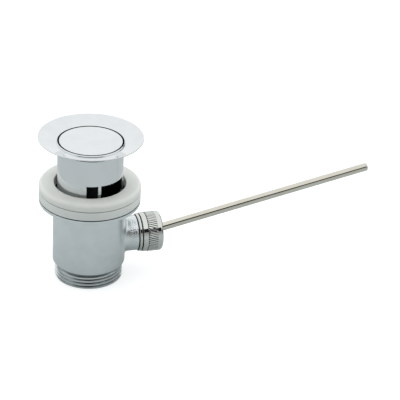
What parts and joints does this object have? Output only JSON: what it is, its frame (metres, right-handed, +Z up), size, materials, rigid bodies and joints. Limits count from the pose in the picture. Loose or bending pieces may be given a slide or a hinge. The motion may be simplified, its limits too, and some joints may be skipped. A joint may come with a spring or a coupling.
{
  "type": "pop-up basin drain",
  "caption": "Pop-up basin drain with a dished flange, overflow cup, white gasket rings, threaded tail and a side lever that lifts the stopper.",
  "frame": {"origin": "on the valve's axis, where the foot of the dished flange rests in the basin's hole", "axes": "+Z up out of the basin along the valve's axis, +X along the side branch towards the lever"},
  "size_m": [0.2124, 0.0636, 0.0941],
  "materials": {
    "chrome": "polished chrome plate on brass",
    "satin_chrome": "satin chrome plate on a brass casting",
    "nickel": "bright nickel-plated steel rod",
    "pale_rubber": "matt pale grey-white rubber",
    "pale_plastic": "smooth pale grey plastic",
    "white_plastic": "smooth white plastic",
    "dark_plastic": "smooth dark plastic",
    "black_rubber": "matt black rubber",
    "brass": "turned brass"
  },
  "bodies": {
    "drain": {"body": "satin_chrome", "cup": "chrome", "backing_ring": "pale_plastic", "basin_gasket": "pale_rubber", "seat_washer": "black_rubber", "inner_seat": "white_plastic", "outer_seat": "white_plastic", "gland_ring": "chrome", "gland_nut": "chrome"},
    "lever": {"lever_rod": "nickel", "lever_ball": "white_plastic"},
    "stopper": {"stopper_cap": "chrome", "stopper_seal": "black_rubber", "stopper_guide": "dark_plastic", "stem_screw": "brass", "lock_nut": "brass"}
  },
  "joints": [
    {"name": "lever_tilt", "type": "hinge", "parent": "drain", "child": "lever", "pos_m": [0.037, 0, -0.0644], "axis": [0, 1, 0], "range_deg": [0, 16]},
    {"name": "stopper_lift", "type": "slide", "parent": "drain", "child": "stopper", "axis": [0, 0, 1], "range_m": [0, 0.01034]}
  ],
  "couplings": [
    {"joint": "stopper_lift", "follows": "lever_tilt", "m_per_rad": 0.037013}
  ]
}
